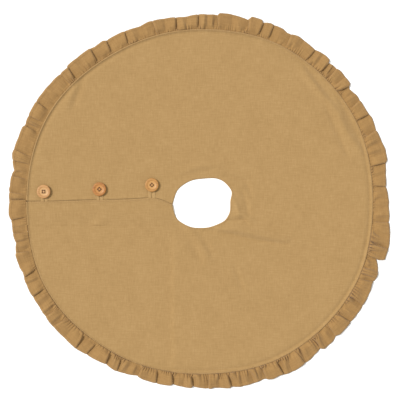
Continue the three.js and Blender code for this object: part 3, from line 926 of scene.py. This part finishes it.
def make_loop(number):
    inner, outer, edge, low, high, foot = loop_line(number)
    across = np.linspace(0, 1, 9)
    line = inner[None] * (1 - across[:, None, None]) + outer[None] * across[:, None, None]
    crown = np.sqrt(np.clip(1 - np.abs(2 * across - 1) ** 5, 0, 1))[:, None]
    stitched = 0.18 * np.exp(-(((across[:, None] - 0.5) / 0.1) ** 2))
    middle, half = (low + high) / 2, (high - low) / 2
    tuck = np.where(line[..., 1] < edge + 1, 0.15, 0)
    top = np.dstack([line, middle + LOOP_CROWN * half * crown - stitched - tuck])
    under = np.dstack([line, middle - half * crown * 0.9 - tuck])
    middle_line = (inner + outer) / 2
    run = np.concatenate([[0], np.cumsum(np.hypot(*(middle_line[1:] - middle_line[:-1]).T))])
    flat = np.dstack(np.broadcast_arrays(run[None], across[:, None] * LOOP_STRAP))
    piece = shell(f"loop_strap_{number}", top, under, flat, loop_cloth_painted_light)
    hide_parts(f"loop_{number}", f"loop_root_{number}")
    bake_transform(piece)
    height = np.full(len(middle_line), middle + LOOP_CROWN * half - 0.15)
    seam = sew(f"loop_stitches_{number}", [np.column_stack([middle_line, height])], 2.4, 1.8, 0.5)
    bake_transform(seam)


def button_profile(radius, low, high):
    """A thick disc with a rounded rim and a shallow dish, from the axis underneath to the axis on top."""
    edge, dish, depth = RIM_ROUNDING, DISH_RADIUS, DISH_DEPTH
    profile = [(0, low), (radius - 2.6 * edge, low)]
    for level, turns in ((low + edge, np.linspace(-90, 0, 6)), (high - edge, np.linspace(0, 90, 6))):
        for a in np.radians(turns):
            profile.append((radius - edge + edge * math.cos(a), level + edge * math.sin(a)))
    profile += [(dish + 3.6, high - 0.02), (dish + 2.2, high - 0.12)]
    for s in np.linspace(0, 1, 7)[1:]:
        profile.append((dish + 2.2 - 3.4 * s, high - 0.12 - (depth - 0.12) * float(smooth(s))))
    return [*profile, (0, high - depth)]


def make_button(number, base, dark, dish):
    low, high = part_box(f"button_{number}")
    centre = ((low.x + high.x) / 2 / MM, (low.y + high.y) / 2 / MM)
    radius, bottom, top = (high.x - low.x) / 2 / MM, low.z / MM, high.z / MM
    turn = math.radians(BUTTON_TURNS[number - 1])
    wood = turned_wood(f"turned_wood_{number}", base, dark, dish, centre, 0.5 + number)
    disc = revolve(f"button_disc_{number}", button_profile(radius, bottom, top), 96, centre, wood)
    holes = []
    # Each hole flares a little where it meets the floor of the dish.
    bore = [(0, bottom - 2), (1.8, bottom - 2), (1.8, top - 1.55), (2.2, top - 1.15), (2.2, top + 2), (0, top + 2)]
    for a, b in ((-1, -1), (1, -1), (1, 1), (-1, 1)):
        across = a * math.cos(turn) - b * math.sin(turn)
        ahead = a * math.sin(turn) + b * math.cos(turn)
        spot = (centre[0] + HOLE_SPACING / 2 * across, centre[1] + HOLE_SPACING / 2 * ahead)
        holes.append(spot)
        drill = revolve("drill", bore, 20, spot, wood)
        cut = disc.modifiers.new("hole", "BOOLEAN")
        cut.operation, cut.solver, cut.object = "DIFFERENCE", "EXACT", drill
        graph = bpy.context.evaluated_depsgraph_get()
        graph.update()
        mesh = bpy.data.meshes.new_from_object(disc.evaluated_get(graph), depsgraph=graph)
        disc.modifiers.remove(cut)
        disc.data = mesh
        bpy.data.objects.remove(drill)
    disc.data.name = disc.name
    disc.data.shade_smooth()
    disc.data.set_sharp_from_angle(angle=math.radians(38))
    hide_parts(f"button_{number}")
    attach(disc, f"button_{number}")

    paths = []
    for i in range(4):
        (ax, ay), (bx, by) = holes[i], holes[(i + 1) % 4]
        nx, ny = (by - ay) / HOLE_SPACING, (ax - bx) / HOLE_SPACING
        for off in (-0.62, 0.62):
            run = []
            for s in np.linspace(0, 1, 13):
                dip = 3.4 * (max(0, abs(2 * s - 1) - 0.78) / 0.22) ** 1.5
                z = top - DISH_DEPTH + 0.75 + 0.25 * math.sin(math.pi * s) - dip
                run.append((ax + (bx - ax) * s + nx * off, ay + (by - ay) * s + ny * off, z))
            paths.append(run)
    thread = strands(f"button_thread_strands_{number}", paths, 0.68, brown_thread)
    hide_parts(f"button_thread_{number}")
    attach(thread, f"button_{number}")

    low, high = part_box(f"button_shank_{number}")
    rise = np.linspace(low.z / MM, high.z / MM, 34)
    wound = [(0, low.z / MM)] + [(2.1 + 0.3 * abs(math.sin(z * 3.4)), z) for z in rise] + [(0, high.z / MM)]
    shank = revolve(f"button_shank_winding_{number}", wound, 28, centre, brown_thread)
    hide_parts(f"button_shank_{number}")
    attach(shank, f"shank_{number}")


# -------- floor, light and camera


def make_stage():
    far = 60
    mesh = bpy.data.meshes.new("floor")
    mesh.from_pydata([(-far, -far, 0), (far, -far, 0), (far, far, 0), (-far, far, 0)], [], [(0, 1, 2, 3)])
    material, _, shader = new_material("studio_floor_white_vinyl", 0.75, Specular_IOR_Level=0.2)
    shader.inputs["Base Color"].default_value = colour("#f7f7f6")
    floor = new_object("floor", mesh, material)
    world = bpy.data.worlds.new("studio")
    bpy.context.scene.world = world
    world.use_nodes = True
    sky = world.node_tree.nodes["Background"].inputs
    sky["Color"].default_value, sky["Strength"].default_value = (1, 1, 1, 1), 0.76
    light = bpy.data.lights.new("key", "SUN")
    light.angle, light.energy = math.radians(16), 2.97
    lamp = bpy.data.objects.new("key", light)
    lamp.location = (-0.74, 0.3, 1.0)
    lamp.rotation_mode = "QUATERNION"
    lamp.rotation_quaternion = (-lamp.location).to_track_quat("-Z", "Y")
    bpy.context.scene.collection.objects.link(lamp)
    eye = bpy.data.objects.new("camera", bpy.data.cameras.new("camera"))
    eye.data.lens, eye.data.sensor_width = 84.2, 36
    eye.location = (0, 0.0051, 3.0)
    bpy.context.scene.collection.objects.link(eye)
    bpy.context.scene.camera = eye
    bpy.context.scene.view_settings.view_transform = "Standard"


make_stage()
stitches_tree = stitch_tree()
make_skirt_face()
make_skirt_lining()
make_flap_face()
make_flap_lining()
make_stitches(make_ruffle())
for which in (1, 2, 3):
    make_loop(which)
# Each button's last colour is the painted highlight of its dish.
make_button(1, "#bb8a50", "#9c6c38", "#d9b076")
make_button(2, "#b0742e", "#8c551d", "#cd9650")
make_button(3, "#b6823d", "#94632b", "#d3a362")
